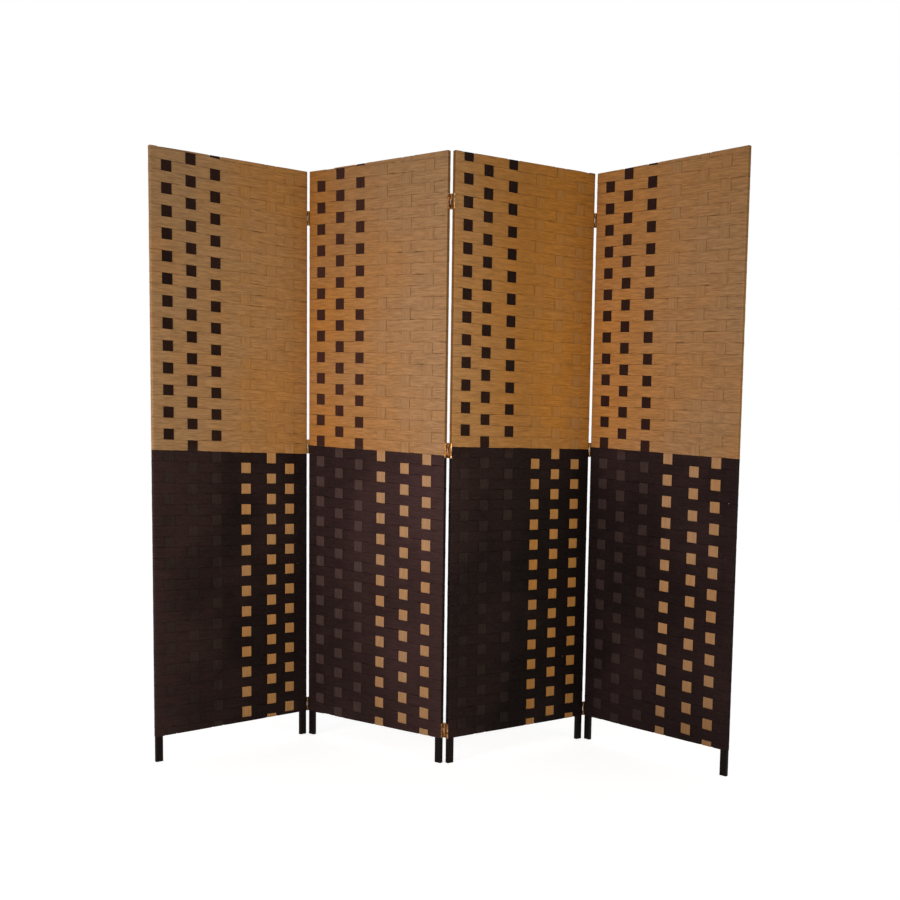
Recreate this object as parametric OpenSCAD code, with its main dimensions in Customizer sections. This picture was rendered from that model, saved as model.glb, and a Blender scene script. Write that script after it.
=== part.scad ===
// Folding privacy screen: four framed panels woven from flat paper-cord tape,
// standing in a zigzag on two-way brass hinges.
// The floor is at z = 0, the pictured side faces -Y and panel 1 is at the left.

/* [Screen] */
// Height from the floor to the top edge
screen_h = 1700; // [1500:10:1900]
// Width of one panel over its woven edges
panel_w = 500; // [440:5:560]
// Height of the bare feet below the weave
foot_h = 72; // [50:1:100]
// Turn of panel 2 seen from above, in degrees
panel_2_turn = -35.5; // [-60:0.5:-10]
// Angle by which panels 1 and 2 are folded away from flat
fold_12 = 74; // [20:0.5:110]
// Angle by which panels 2 and 3 are folded away from flat
fold_23 = 68.5; // [20:0.5:110]
// Angle by which panels 3 and 4 are folded away from flat
fold_34 = 79.5; // [20:0.5:110]

/* [Frame] */
// Width of a stile seen from the front
stile_w = 21; // [19:1:24]
// Thickness of a stile from front to back
stile_t = 12; // [12:0.5:18]
// Rounding along the long edges of a stile
stile_r = 2; // [1.5:0.5:4]
// Height of a rail
rail_h = 28; // [22:1:40]
// Rounding along the long edges of a rail
rail_r = 1.5; // [0.5:0.5:3]
// Height of the middle rail's centre above the floor
rail_middle_z = 886; // [800:1:960]
// Length of the tenon at each end of a rail
tenon_l = 8; // [5:1:8]
// Height of a tenon
tenon_h = 16; // [12:1:18]
// Thickness of a tenon
tenon_t = 5; // [4:0.5:6]

/* [Weave] */
// Thickness of the woven tape
tape_t = 1; // [0.8:0.1:1.4]
// Amount by which the tape bends more sharply than the stile it is wound on
tape_bend = 0.7; // [0.5:0.1:1]
// Width of an upright tape
tape_w = 31.1; // [24:0.1:33]
// Height by which an upright tape stands proud where it crosses over
tape_rise = 0.3; // [0.1:0.1:0.5]
// Play all round an upright tape where it comes through the rows
tape_play = 0.3; // [0.2:0.1:0.6]
// Height of the rows' edges that show between two openings for a tape
row_gap = 0.6; // [0.4:0.1:1.4]
// Shortest part of a square that still shows at a cut edge
least_square = 4; // [3:0.5:8]
// Height of the colour change at the left edge of each panel's front
colour_z = [881, 892, 899, 897]; // [840:1:940]
// Fall of a row from left to right across each panel's front
row_fall = [16, 18, 10, 21]; // [6:1:24]
// Height of one tan row on each panel
tan_row = [30.3, 31.1, 31.1, 31]; // [28:0.1:34]
// Height of one dark row on each panel
dark_row = [30.2, 30.2, 29.7, 30.4]; // [28:0.1:34]
// Centres of the six upright tapes of each panel, in percent of its width
tape_centres = [
    [9.5, 24, 39, 58, 75, 87.5],
    [9.5, 24, 39, 55.5, 72.5, 88],
    [9, 22.5, 39.5, 59, 74, 89],
    [10, 23, 39.5, 55.5, 73, 87]
]; // each 8 to 90, at least 11 apart

/* [Hinges] */
// Gap between the edges of neighbouring panels
hinge_gap = 4; // [3.5:0.5:6]
// Height of a hinge
hinge_h = 42; // [34:1:50]
// Distance from the lower edge of the weave up to the lowest hinge
hinge_low_gap = 1; // [0:0.5:60]
// Height of the middle hinge's centre above the floor
hinge_middle_z = 888; // [800:1:960]
// Distance from the top edge down to the highest hinge
hinge_top_gap = 114; // [40:1:160]
// Distance of a pin's axis from the face of the weave
pin_proud = 0.8; // [0.8:0.1:1.5]
// Diameter of a hinge pin
pin_d = 1.8; // [1.4:0.1:2.2]
// Play of the pin in a turning knuckle, on the radius
pin_play = 0.05; // [0.03:0.01:0.09]
// Length by which a pin stands out at each end of its knuckles
pin_end = 0.8; // [0.4:0.1:1.5]
// Thickness of a hinge leaf
leaf_t = 0.8; // [0.6:0.1:1]
// Thickness of the plate that links the two pins of a hinge
link_t = 1; // [0.8:0.1:1.2]
// Free gap between neighbouring knuckles and around them
knuckle_play = 0.2; // [0.15:0.05:0.4]
// Diameter of a screw's head
screw_head_d = 4.2; // [3.6:0.1:4.8]
// Diameter of a screw's shank
screw_d = 2.6; // [2:0.1:3]
// Length of a screw
screw_l = 12; // [8:1:12]
// Distance between the two screws of a leaf
screw_pitch = 26; // [22:1:27]

/* [Hidden] */
$fn = 48;
panels = [1, 2, 3, 4];
joints = [12, 23, 34];

frame_w = panel_w - 2 * tape_t;
weave_t = stile_t + 2 * tape_t;
weave_r = stile_r + tape_t;
rail_t = stile_t - 2 * tape_t;
rail_l = frame_w - 2 * stile_w;
// Rows counted up and down from the colour change, enough for the tallest screen
row_reach = 60;
edge_margin = 2;
bite = 0.2;
// How much longer or wider a cut is than what it opens
cut_past = 2;

hinge_z = [
    foot_h + hinge_low_gap + hinge_h / 2,
    hinge_middle_z,
    screen_h - hinge_top_gap - hinge_h / 2
];
pin_y = weave_t / 2 + pin_proud;
pin_r = pin_d / 2;
knuckle_r = hinge_gap / 2 - knuckle_play;
knuckle_z = hinge_h / 6;
leaf_reach = pin_y - knuckle_r - 2 * knuckle_play;
// Side of the panel, -1 front and 1 back, where the left leaf of each joint turns
left_pin_side = [-1, 1, -1];

// Stance of the panels seen from above
turn = [
    panel_2_turn + fold_12,
    panel_2_turn,
    panel_2_turn + fold_23,
    panel_2_turn + fold_23 - fold_34
];
function spin(a, v) = [v.x * cos(a) - v.y * sin(a), v.x * sin(a) + v.y * cos(a)];
function left_axis(s) = [-hinge_gap / 2, s * pin_y];
function right_axis(s) = [panel_w + hinge_gap / 2, s * pin_y];
function next_place(at, i) = at + spin(turn[i], right_axis(left_pin_side[i]))
    - spin(turn[i + 1], left_axis(left_pin_side[i]));
place_1 = [0, 0];
place_2 = next_place(place_1, 0);
place_3 = next_place(place_2, 1);
place_4 = next_place(place_3, 2);
places = [place_1, place_2, place_3, place_4];

// Round corners and knuckles that can lie furthest out, each as [x, y, radius]
function round_at(i, v, r) = concat(places[i] + spin(turn[i], v), [r]);
corner_in = weave_r;
outline = concat(
    [for (i = [0:3]) for (x = [corner_in, panel_w - corner_in])
        for (s = [-1, 1]) round_at(i, [x, s * (weave_t / 2 - corner_in)], corner_in)],
    [for (i = [1:3]) for (s = [-1, 1]) round_at(i, left_axis(s), knuckle_r)]
);
low = [min([for (c = outline) c.x - c.z]), min([for (c = outline) c.y - c.z])];
high = [max([for (c = outline) c.x + c.z]), max([for (c = outline) c.y + c.z])];
middle = (low + high) / 2;

// Axis of each hinge pin in the finished frame, printed for reference
function axis_at(i, s) = places[i] + spin(turn[i], left_axis(s)) - middle;
for (i = [1:3]) echo(joint = joints[i - 1], front = axis_at(i, -1), back = axis_at(i, 1));

module in_panel(p) {
    translate([places[p - 1].x - middle.x, places[p - 1].y - middle.y, 0])
    rotate([0, 0, turn[p - 1]])
    children();
}

// Frame

module rounded(w, t, r) {
    square([w - 2 * r, t], center = true);
    square([w, t - 2 * r], center = true);
    for (x = [-1, 1], y = [-1, 1])
        translate([x * (w / 2 - r), y * (t / 2 - r)]) circle(r);
}

function rail_z(which) = which == "top" ? screen_h - tape_t - rail_h / 2
    : which == "bottom" ? foot_h + tape_t + rail_h / 2
    : rail_middle_z;

module tenons(which) {
    translate([panel_w / 2, 0, rail_z(which)])
    cube([rail_l + 2 * tenon_l, tenon_t, tenon_h], center = true);
}

module stile(p, side) {
    x = side == "left" ? tape_t + stile_w / 2 : panel_w - tape_t - stile_w / 2;
    color("#2b1e1a")
    difference() {
        translate([x, 0, 0]) linear_extrude(screen_h) rounded(stile_w, stile_t, stile_r);
        for (w = ["top", "middle", "bottom"]) tenons(w);
        edge_screws(p, side);
    }
}

module rail(which) {
    color("#33241d") {
        translate([panel_w / 2 - rail_l / 2, 0, rail_z(which)])
        rotate([90, 0, 90])
        linear_extrude(rail_l) rounded(rail_t, rail_h, rail_r);
        tenons(which);
    }
}

// Weave

// Height of the lower edge of row r at x. Row 0 is the lowest tan row.
// The tape winds round the frame, so on the back it goes on falling towards
// the left edge, where it meets the next row of the front.
function row_edge(p, r, x, back) =
    colour_z[p - 1]
    - (back
        ? row_fall[p - 1] + (tan_row[p - 1] - row_fall[p - 1]) * (1 - x / panel_w)
        : row_fall[p - 1] * x / panel_w)
    + r * (r < 0 ? dark_row[p - 1] : tan_row[p - 1]);

function tape_x(p, c) = tape_centres[p - 1][c] / 100 * panel_w;
// An upright tape that would end just short of the weave's edge runs on to it
function at_foot(p, c, r, back) =
    row_edge(p, r, tape_x(p, c), back) + row_gap / 2 < foot_h + edge_margin;
function at_top(p, c, r, back) =
    row_edge(p, r + 1, tape_x(p, c), back) - row_gap / 2 > screen_h - edge_margin;
// Ends at x of the opening where tape c comes through row r
function opening_low(p, c, r, x, back) =
    at_foot(p, c, r, back) ? foot_h
    : row_edge(p, r, x, back) + (r == 0 ? 0 : row_gap / 2);
function opening_high(p, c, r, x, back) =
    at_top(p, c, r, back) ? screen_h
    : row_edge(p, r + 1, x, back) - (r == -1 ? 0 : row_gap / 2);
// An upright tape lies over every second row, in turn from tape to tape
function shows(p, c, r, back) =
    (r + c + p) % 2 == 0
    && opening_high(p, c, r, tape_x(p, c), back)
        - opening_low(p, c, r, tape_x(p, c), back) >= least_square;

// Openings in the rows, or the squares of tape that stand in them
module squares(p, tapes, rows, back, opening) {
    w = tape_w / 2 - (opening ? 0 : tape_play);
    inner = opening ? 0 : -tape_play;
    outer = opening ? edge_margin : 0;
    for (c = tapes) for (r = rows) if (shows(p, c, r, back)) {
        left = tape_x(p, c) - w;
        right = tape_x(p, c) + w;
        down = r == 0 || at_foot(p, c, r, back) ? outer : inner;
        up = r == -1 || at_top(p, c, r, back) ? outer : inner;
        polygon([
            [left, opening_low(p, c, r, left, back) - down],
            [right, opening_low(p, c, r, right, back) - down],
            [right, opening_high(p, c, r, right, back) + up],
            [left, opening_high(p, c, r, left, back) + up]
        ]);
    }
}

// Stands a drawing in x and z upright, from depth y to depth y + t
module upright(y, t) {
    translate([0, y + t, 0]) rotate([90, 0, 0]) linear_extrude(t) children();
}

module colour_zone(p, upper, back) {
    reach = 2 * weave_t;
    out = 2 * hinge_gap;
    far = upper ? screen_h + out : foot_h - out;
    upright(back ? 0 : -reach, reach)
    polygon([
        [-out, row_edge(p, 0, -out, back)],
        [panel_w + out, row_edge(p, 0, panel_w + out, back)],
        [panel_w + out, far],
        [-out, far]
    ]);
}

module weft(p, upper) {
    rows = upper ? [0:row_reach] : [-row_reach:-1];
    color(upper ? "#a1743f" : "#2d2220")
    difference() {
        intersection() {
            translate([panel_w / 2, 0, foot_h])
            linear_extrude(screen_h - foot_h)
            difference() {
                rounded(panel_w, weave_t, weave_r);
                rounded(frame_w, stile_t, stile_r - tape_bend);
            }
            union() {
                colour_zone(p, upper, false);
                colour_zone(p, upper, true);
            }
        }
        upright(-weave_t / 2 - tape_t, 3 * tape_t)
            squares(p, [0:5], rows, false, true);
        upright(weave_t / 2 - 2 * tape_t, 3 * tape_t)
            squares(p, [0:5], rows, true, true);
        edge_screws(p, "left");
        edge_screws(p, "right");
    }
}

module warps(p, tapes, shade) {
    rows = [-row_reach:row_reach];
    lift = tape_t + tape_rise + bite;
    color(shade) {
        for (c = tapes) difference() {
            translate([tape_x(p, c), 0, (screen_h + foot_h) / 2])
                cube([tape_w, stile_t, screen_h - foot_h], center = true);
            translate([tape_x(p, c), 0, (screen_h + foot_h) / 2])
                cube([tape_w + cut_past, rail_t, screen_h - foot_h - 2 * tape_t], center = true);
        }
        upright(bite - stile_t / 2 - lift, lift) squares(p, tapes, rows, false, false);
        upright(stile_t / 2 - bite, lift) squares(p, tapes, rows, true, false);
    }
}

// Hinges, each about the middle of its gap: panels lie at -x and +x

module leaf(side, pin_side) {
    mirror([side > 0 ? 1 : 0, 0, 0]) mirror([0, pin_side > 0 ? 1 : 0, 0])
    difference() {
        union() {
            translate([-hinge_gap / 2, -leaf_reach, -hinge_h / 2])
                cube([leaf_t, 2 * leaf_reach, hinge_h]);
            for (s = [-1, 1]) translate([0, 0, s * (hinge_h / 2 + knuckle_z) / 2]) {
                translate([-hinge_gap / 2, -pin_y, knuckle_z / 2 - hinge_h / 4])
                    cube([leaf_t, pin_y - leaf_reach + bite, hinge_h / 2 - knuckle_z]);
                translate([0, -pin_y, 0])
                    cylinder(h = hinge_h / 2 - knuckle_z, r = knuckle_r, center = true);
            }
        }
        translate([0, -pin_y, 0])
            cylinder(h = hinge_h + cut_past, r = pin_r + pin_play, center = true);
        for (s = [-1, 1]) translate([0, 0, s * screw_pitch / 2]) screw_shape(-1);
    }
}

module link_plate() {
    tongue_h = 2 * (knuckle_z - knuckle_play);
    difference() {
        union() {
            cube([link_t, 2 * leaf_reach, hinge_h], center = true);
            cube([link_t, 2 * pin_y, tongue_h], center = true);
            for (s = [-1, 1]) translate([0, s * pin_y, 0])
                cylinder(h = tongue_h, r = knuckle_r, center = true);
        }
        for (s = [-1, 1]) translate([0, s * pin_y, 0])
            cylinder(h = hinge_h, r = pin_r, center = true);
    }
}

module pin() {
    half = hinge_h / 2 + pin_end;
    edge = pin_r / 3;
    rotate_extrude()
    polygon([
        [0, -half], [pin_r - edge, -half], [pin_r, edge - half],
        [pin_r, half - edge], [pin_r - edge, half], [0, half]
    ]);
}

// Countersunk screw, driven towards -x for side -1 and towards +x for side 1
module screw_shape(side) {
    tip = screw_d;
    rotate([0, side * 90, 0])
    translate([0, 0, hinge_gap / 2 - leaf_t])
    rotate_extrude()
    polygon([
        [0, 0], [screw_head_d / 2, 0], [screw_d / 2, leaf_t],
        [screw_d / 2, screw_l - tip], [0, screw_l]
    ]);
}

module screws(side) {
    for (z = hinge_z) for (s = [-1, 1])
        translate([0, 0, z + s * screw_pitch / 2]) screw_shape(side);
}

// The screws that enter one edge of a panel, in that panel's own frame
module edge_screws(p, side) {
    if (side == "left" && p > 1) translate([-hinge_gap / 2, 0, 0]) screws(1);
    if (side == "right" && p < 4) translate([panel_w + hinge_gap / 2, 0, 0]) screws(-1);
}

module leaves_left(i) {
    color("#b48a3c")
    translate([panel_w + hinge_gap / 2, 0, 0])
    for (z = hinge_z) translate([0, 0, z]) leaf(-1, left_pin_side[i]);
}

module leaves_right(i) {
    color("#b48a3c")
    translate([-hinge_gap / 2, 0, 0])
    for (z = hinge_z) translate([0, 0, z]) leaf(1, -left_pin_side[i]);
}

module links() {
    color("#a57c34")
    translate([-hinge_gap / 2, 0, 0])
    for (z = hinge_z) translate([0, 0, z]) link_plate();
}

module pins() {
    color("#8d6d33")
    translate([-hinge_gap / 2, 0, 0])
    for (z = hinge_z) for (s = [-1, 1]) translate([0, s * pin_y, z]) pin();
}

module screws_left() {
    color("#c49a4a")
    translate([panel_w + hinge_gap / 2, 0, 0]) screws(-1);
}

module screws_right() {
    color("#c49a4a")
    translate([-hinge_gap / 2, 0, 0]) screws(1);
}

for (p = panels) in_panel(p) {
    stile(p, "left");
    stile(p, "right");
    rail("top");
    rail("middle");
    rail("bottom");
    weft(p, true);
    weft(p, false);
    warps(p, [0:2], "#2a1d19");
    warps(p, [3:5], "#b58a55");
}

for (i = [0:2]) {
    j = joints[i];
    in_panel(i + 1) leaves_left(i);
    in_panel(i + 1) screws_left();
    in_panel(i + 2) links();
    in_panel(i + 2) pins();
    in_panel(i + 2) leaves_right(i);
    in_panel(i + 2) screws_right();
}
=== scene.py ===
"""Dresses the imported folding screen: tapes of paper cord wound and woven round each
panel, stained stiles, worn brass hinges and a pale studio, all placed on the frame."""

import math

import bmesh
import bpy
import numpy as np
from bpy.props import FloatProperty, FloatVectorProperty, IntProperty, PointerProperty
from mathutils import Matrix, Vector


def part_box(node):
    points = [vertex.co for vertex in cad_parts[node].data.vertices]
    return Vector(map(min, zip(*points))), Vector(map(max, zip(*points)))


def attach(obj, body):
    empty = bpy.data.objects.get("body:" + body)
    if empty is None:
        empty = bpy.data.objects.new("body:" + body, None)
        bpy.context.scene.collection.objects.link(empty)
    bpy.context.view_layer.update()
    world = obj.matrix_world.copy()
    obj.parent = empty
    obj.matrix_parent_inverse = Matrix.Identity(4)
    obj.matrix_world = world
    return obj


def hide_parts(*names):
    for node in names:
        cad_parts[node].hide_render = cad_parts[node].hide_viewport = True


bl_info = {
    "name": "Woven folding screen",
    "version": (1, 0, 0),
    "blender": (4, 5, 0),
    "location": "View3D > Sidebar > Screen",
    "description": "Weaves the panels of a folding screen and finishes its wood and brass",
    "category": "Add Mesh",
}

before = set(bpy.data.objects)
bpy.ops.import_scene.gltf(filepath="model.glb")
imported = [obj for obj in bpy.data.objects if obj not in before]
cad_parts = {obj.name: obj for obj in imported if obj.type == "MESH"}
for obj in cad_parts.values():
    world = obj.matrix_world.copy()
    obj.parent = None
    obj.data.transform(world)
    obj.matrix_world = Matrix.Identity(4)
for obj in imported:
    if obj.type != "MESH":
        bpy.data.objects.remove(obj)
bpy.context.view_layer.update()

PANELS = (1, 2, 3, 4)
JOINTS = (12, 23, 34)
PANEL_WIDTH = 0.5
PANEL_DEPTH = 0.014
CORNER = 0.003
FOOT = 0.072
TOP = 1.7
TAPE_WIDTH = 0.0305
SEEDS = {"rows": 40, "uprights": 80, "screws": 7}

# Per panel: height of the colour change at the left of the front, the fall of a row
# across the front, the height of a tan and of a dark row, and the tapes' centres.
COLOUR_Z = (0.881, 0.892, 0.899, 0.897)
ROW_FALL = (0.016, 0.018, 0.010, 0.021)
TAN_ROW = (0.0303, 0.0311, 0.0311, 0.0310)
DARK_ROW = (0.0302, 0.0302, 0.0297, 0.0304)
TAPE_CENTRES = (
    (0.0475, 0.1200, 0.1950, 0.2900, 0.3750, 0.4375),
    (0.0475, 0.1200, 0.1950, 0.2775, 0.3625, 0.4400),
    (0.0450, 0.1125, 0.1975, 0.2950, 0.3700, 0.4450),
    (0.0500, 0.1150, 0.1975, 0.2775, 0.3650, 0.4350),
)
# Shortest square that shows at an edge, the gap between rows that it leaves free, and how
# little of a row may stand inside an edge.
LEAST_SQUARE = 0.004
ROW_GAP = 0.0006
EDGE_MARGIN = 0.002
END_MARGIN = 0.0025

# How far from an upright tape's centre a row's course is set. Between the two places of
# CLIMB it climbs over that tape or dips beneath it.
CLIMB_PLACES = (0.0055, 0.0160, 0.0190, 0.0225)
CLIMB = (0.0155, 0.0215)
STATION_SPACING = 0.013
ARC_STEPS = 5
# Share of the way from the front to the back at the two ends of the right narrow side.
SIDE_SHARES = (0.4, 0.6)
# Where a row passes the upper or lower edge, it rolls over that edge: the least radius of
# its inner side, the share of its further width that lies on the rail, and how much lower
# it lies beneath an upright tape.
LEAST_ROLL = 0.0001
TURNED_SHARE = 0.1
BENEATH = 0.0011
# Lengths of wound tape over which its unevenness changes.
STRAY_EVERY = 0.075
SLACK_EVERY = 0.019
LEAN_EVERY = 0.11
SWELL_EVERY = 0.05
# How far a row swells, and how far an edge may lean in.
SWELL = 0.00005
MOST_LEAN_IN = 0.0002
# A row is slack by as much as its noise passes the first value, up to the second. The groove
# beside a row that isn't slack has this share of its full depth.
SLACK_FROM, SLACK_MOST = 0.5, 1.5
TIGHT_DROP = 0.15
# Inset of a tape's inner corners, as a share of its width.
INNER_INSET = 0.03

# An upright tape's way up at the end of a square: distance into the row, share of its depth
# beneath the rows and share of its height over them.
SQUARE_END = ((-0.0013, 1, 0), (0.0004, 0.45, 0), (0.0012, 0, 0.35), (0.0026, 0, 0.85),
              (0.0060, 0, 1))
# How much higher a square is at its middle, and how unevenly high the squares are.
SQUARE_CROWN = 0.00006
SQUARE_UNEVEN = 0.00006
# Where the tape lies flat beneath a row, from the row's edge, and how it turns over a rail.
HIDDEN_FROM = 0.008
TURN_RADIUS = 0.002
TURN_STEPS = 4
RAIL_PLACES = (0.0, 0.35, 0.65, 1.0)
# Length over which its slant eases out at the rails, and how far apart two upright tapes
# lay on the roll that they were cut from.
SLANT_EASE = 0.02
TAPE_APART = 7.0

# Painted light and shade on the rows of each panel, at the left, in the middle and at the right:
# the share of the lit colour, high on the edges that stand forward and low in the folds.
PAINTED_LIGHT_ROWS = {
    "tan": ((1.0, 0.72, 0.40), (0.20, 0.75, 1.0), (0.6, 0.25, 0.0), (0.25, 0.68, 0.85)),
    "dark": ((0.62, 0.19, 0.21), (0.33, 0.6, 1.0), (0.34, 0.03, 0.0), (0.22, 0.22, 0.45)),
}
# Painted light and shade for the upright tapes, which stand proud: one share for each panel.
PAINTED_LIGHT_UPRIGHTS = {"tan": (0.55, 0.92, 0.32, 0.8), "dark": (0.31, 1.0, 0.27, 0.58)}
# Painted shade on each panel's faces at the left, in the middle and at the right.
PAINTED_SHADE_ACROSS = {
    "tan": ((0.0, 0.0, 0.0), (0.3, 0.13, 0.0), (0.0, 0.45, 0.0), (0.0, 0.0, 0.0)),
    "dark": ((0.0, 0.0, 0.0), (0.0, 0.0, 0.0), (0.0, 0.3, 0.0), (0.0, 0.0, 0.0)),
}
# Painted shade on them just above the floor, and the height that this reaches.
PAINTED_SHADE_LOW = (0.0, 0.0, 0.0, 0.45)
LOW_REACH = 0.28
# Painted shade on the narrow sides, at the left and the right of each panel.
EDGE_PAINTED_SHADE = ((0.1, 1.0), (1.0, 1.0), (1.0, 1.0), (1.0, 0.8))
# How far in from a narrow side its darkening begins to weaken and ends.
EDGE_WIDTH = (0.0003, 0.0020)

# The screws in a narrow side: heights of the hinges' middles, thickness of a leaf, distance
# of its two screws.
HINGE_Z = (0.094, 0.888, 1.565)
LEAF = 0.0008
SCREW_PITCH = 0.026
SCREW_SIDES = 24
# Radius of a screw's point as a share of its shank's, and its cross recess: depth, how far
# the cutter stands out, and how its size changes from there to its end.
SCREW_POINT = 0.06
RECESS_DEPTH, RECESS_OUT = 0.0009, 0.0005
RECESS_TAPER = (1.2, 0.5)

# Looks of a tape: how far random patches shift its mix of painted light and shade, the heights
# between which an upright tape's shade changes from the lower to the upper one, and how bright
# the painted shade in a crevice between two cords is beside the cords.
PATCHES = 0.16
SHADES_MEET = (0.87, 0.90)
CREVICE_SHADE = 0.72
# How bright the painted shadow along a seam and the painted shade on the faces are beside the
# shaded colour, how far that painted shade hides a tape, and the colours and covers of dust.
SEAM_SHADOW_TONE, PAINTED_SHADE_TONE = 0.3, 0.35
PAINTED_SHADE_COVER = 0.8
TAPE_DUST, TAPE_DUST_COVER = (0.6, 0.55, 0.5, 1), 0.02
WOOD_DUST, WOOD_DUST_COVER = (0.5, 0.45, 0.4, 1), 0.01
# Specular level of paper and stained wood, and depths of relief.
SHEEN = 0.05
CORD_RELIEF, GRAIN_RELIEF, SCRATCH_RELIEF = 0.00018, 0.00018, 0.00005

# The stage: how far the floor lies below the feet, and the camera's sensor, in millimetres,
# and reach.
FLOOR_DROP = 0.0005
FLOOR_ROUGHNESS = 0.9
SENSOR_WIDTH = 36.0
VIEW_END = 60.0


# Sizes and colours


def length(name, description, default):
    return FloatProperty(
        name=name, description=description, default=default,
        unit="LENGTH", precision=5, min=0.0)


def position(name, description, default):
    return FloatVectorProperty(
        name=name, description=description, default=default,
        subtype="TRANSLATION", unit="LENGTH")


def degrees(name, description, default):
    return FloatProperty(
        name=name, description=description, default=math.radians(default), subtype="ANGLE")


def power(name, description, default):
    return FloatProperty(
        name=name, description=description, default=default, unit="POWER", min=0.0)


def colour(name, description, default, most=1.0):
    return FloatVectorProperty(
        name=name, description=description, default=default,
        subtype="COLOR", size=3, min=0.0, max=most)


def shade_of(name, tapes, default):
    """Factor on the colour of some of the upright tapes; it may brighten them."""
    return colour(name, f"Shade of {tapes}", default, most=4.0)


class ScreenTapeSizes(bpy.types.PropertyGroup):
    """Form of the paper-cord tapes"""

    cords: IntProperty(
        name="Cords", description="Number of cords side by side in a tape", default=10, min=3)
    groove: length("Groove", "Depth of the groove between two cords", 0.00034)
    thickness: length("Thickness", "Thickness of a tape", 0.001)
    over: length("Over", "Height of a wound tape where it passes over", 0.0004)
    under: length("Under", "Depth of a wound tape where it passes under", 0.00068)
    proud: length("Proud", "Height of an upright tape where it shows", 0.0005)
    edge_drop: length("Edge drop", "Depth of the groove beside a tape", 0.0005)
    gap: length("Gap", "Least gap between two rows", 0.00003)
    loose_gap: length("Loose gap", "Further gap where a row has worked loose", 0.0005)
    stray: length("Stray", "Unevenness of the rows' edges", 0.00045)
    tilt: length("Tilt", "Height by which a row leans out along an edge", 0.00016)


class ScreenScrewSizes(bpy.types.PropertyGroup):
    """Form of the hinge screws"""

    head: length("Head", "Diameter of a screw's head", 0.0042)
    shank: length("Shank", "Diameter of a screw's shank", 0.0026)
    screw: length("Screw", "Length of a screw", 0.012)
    recess: length("Recess", "Width of the cross recess", 0.0023)


class ScreenColours(bpy.types.PropertyGroup):
    """Colours of the tapes, the wood and the brass"""

    # Each tape has a shaded and a lit colour; painted light and shade mix them across the panel.
    tan_shaded: colour("Deep tan", "Tan tape in the folds", (0.43, 0.178, 0.031))
    tan_lit: colour("Faded tan", "Tan tape that light has faded", (0.355, 0.204, 0.094))
    brown_shaded: colour("Deep brown", "Brown tape in the folds", (0.0057, 0.0028, 0.0025))
    brown_lit: colour(
        "Faded brown", "Brown tape that light has faded", (0.047, 0.0236, 0.0218))
    upper_tan: shade_of("Upper tan", "tan upright tapes on tan rows", (1.0, 1.0, 1.0))
    lower_tan: shade_of("Lower tan", "tan upright tapes on brown rows", (1.14, 1.18, 1.3))
    upper_brown: shade_of("Upper brown", "brown upright tapes on tan rows", (0.95, 0.70, 0.5))
    lower_brown: shade_of("Lower brown", "brown upright tapes on brown rows", (1.3, 1.58, 1.5))
    wood: colour("Wood", "Colour of the stained stiles", (0.006, 0.0036, 0.0030))
    brass: colour("Brass", "Colour of bright brass", (0.50, 0.29, 0.12))
    # Painted shade: the darker brass of the hinge plates at the joints in the folds.
    shaded_brass: colour("Shaded brass", "Colour of brass that has browned", (0.27, 0.15, 0.06))
    tarnish: colour("Tarnish", "Colour of dulled brass", (0.13, 0.07, 0.028))
    grime: colour("Grime", "Colour of the darkest tarnish", (0.035, 0.018, 0.009))


class ScreenStage(bpy.types.PropertyGroup):
    """Camera, floor and lights"""

    lens: FloatProperty(
        name="Lens", description="Focal length for a 36 mm wide picture", default=44.806,
        unit="CAMERA", min=10.0)
    camera: position("Camera", "Place of the camera", (-0.0383, -3.2169, 0.9703))
    pitch: degrees("Pitch", "Angle by which the camera looks down", 5.308)
    roll: degrees("Roll", "Angle by which the camera leans", 0.664)
    shift: FloatVectorProperty(
        name="Shift", description="Shift of the picture, as shares of its width",
        default=(22.68 / 900, 74.64 / 900), size=2)
    floor_size: length("Floor", "Side of the square floor", 16.0)
    floor: colour("Floor colour", "Colour of the floor", (0.55, 0.55, 0.55))
    floor_glow: FloatProperty(
        name="Floor glow", description="Strength by which the floor whitens for the camera",
        default=0.74, min=0.0)
    ambient: FloatProperty(
        name="Ambient", description="Strength of the light from all round", default=0.48, min=0.0)
    light_size: length("Light size", "Side of each soft light", 1.2)
    light_spread: degrees("Light spread", "Angle that each soft light fills", 60)
    light_aim: position("Light aim", "Place that the soft lights face", (0.0, 0.0, 0.9))
    left_place: position("Left place", "Place of the soft light at the left", (-2.25, -1.9, 1.0))
    left_power: power("Left light", "Power of the soft light at the left", 8.3)
    left_tint: colour("Left tint", "Colour of the light at the left", (1.0, 0.87, 0.85))
    right_place: position(
        "Right place", "Place of the soft light at the right", (2.35, -1.8, 1.0))
    right_power: power("Right light", "Power of the soft light at the right", 5.8)
    right_tint: colour("Right tint", "Colour of the light at the right", (1.0, 0.92, 0.74))


# Mesh building


def added(name, data):
    """A new object in the scene."""
    obj = bpy.data.objects.new(name, data)
    bpy.context.scene.collection.objects.link(obj)
    return obj


def strip_arrays(points, along, across, closed):
    """Faces and their UVs for a strip: rings of points joined one to the next."""
    n, m = points.shape[:2]
    i = np.arange(n if closed else n - 1)
    j = np.arange(m)
    a, b = np.meshgrid(i, j, indexing="ij")
    a2, b2 = (a + 1) % n, (b + 1) % m
    faces = np.stack([a * m + b, a * m + b2, a2 * m + b2, a2 * m + b], -1).reshape(-1, 4)
    u0, u1 = along[a], along[a + 1]
    uv = np.stack([
        np.stack([u0, across[a, b]], -1), np.stack([u0, across[a, b2]], -1),
        np.stack([u1, across[a2, b2]], -1), np.stack([u1, across[a2, b]], -1),
    ], -2).reshape(-1, 4, 2)
    return faces, uv


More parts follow.
